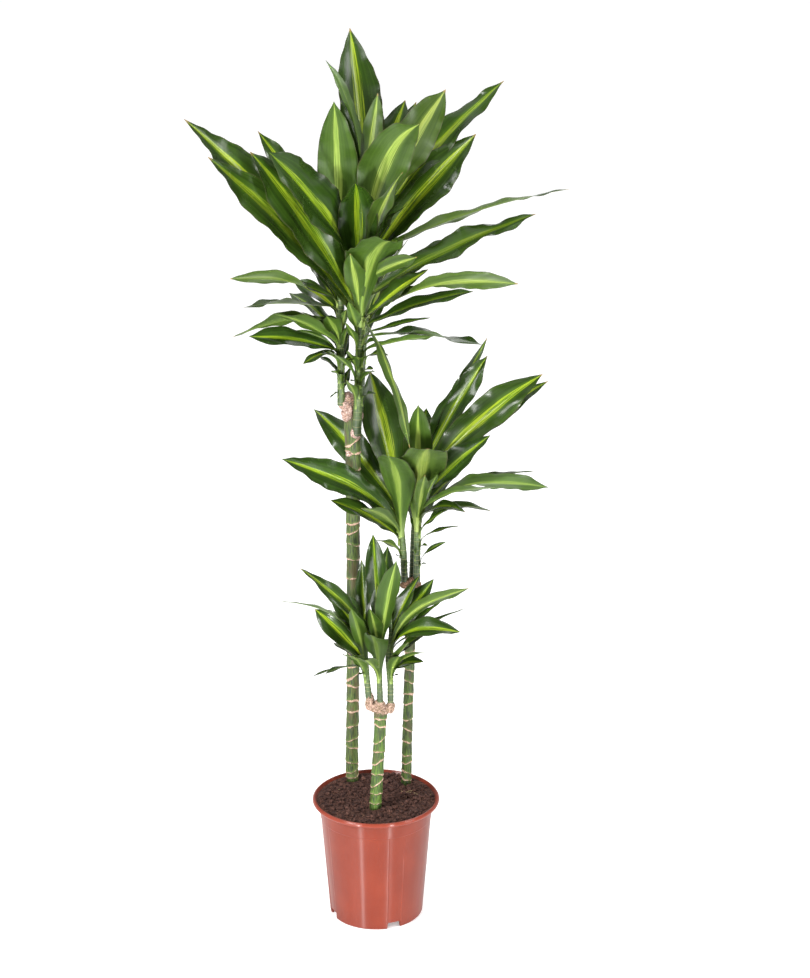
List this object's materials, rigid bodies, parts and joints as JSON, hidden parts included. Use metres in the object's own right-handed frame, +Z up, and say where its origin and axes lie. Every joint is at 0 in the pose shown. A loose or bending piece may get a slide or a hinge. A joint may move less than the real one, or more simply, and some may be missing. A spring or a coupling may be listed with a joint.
{
  "type": "potted corn plant",
  "caption": "Tall house plant: bare ringed canes of different heights stand in a round plastic pot of soil, each topped by leafy shoots with long, arching, striped leaves.",
  "frame": {"origin": "middle of the pot's flat underside, where it stands on the floor", "axes": "+Z up along the pot; +X to the right and +Y away, seen from the side that the picture shows"},
  "size_m": [0.6677, 0.4876, 1.6452],
  "materials": {
    "pot_plastic": "terracotta-coloured moulded plastic, semi-gloss",
    "soil": "damp potting soil, crumbly, with fibres",
    "bark": "green-brown bark, matte, with pale ring scars",
    "leaf": "waxy leaf, dark green with a yellow-green middle stripe"
  },
  "bodies": {
    "root": {"pot": "pot_plastic", "soil": "soil", "cane_tall": "bark", "cane_middle": "bark", "cane_short": "bark", "shoot_tall_left": "leaf", "shoot_tall_front": "leaf", "shoot_tall_back": "leaf", "shoot_middle_left": "leaf", "shoot_middle_right": "leaf", "shoot_middle_back": "leaf", "shoot_short_left": "leaf", "shoot_short_centre": "leaf", "shoot_short_right": "leaf"}
  },
  "joints": []
}
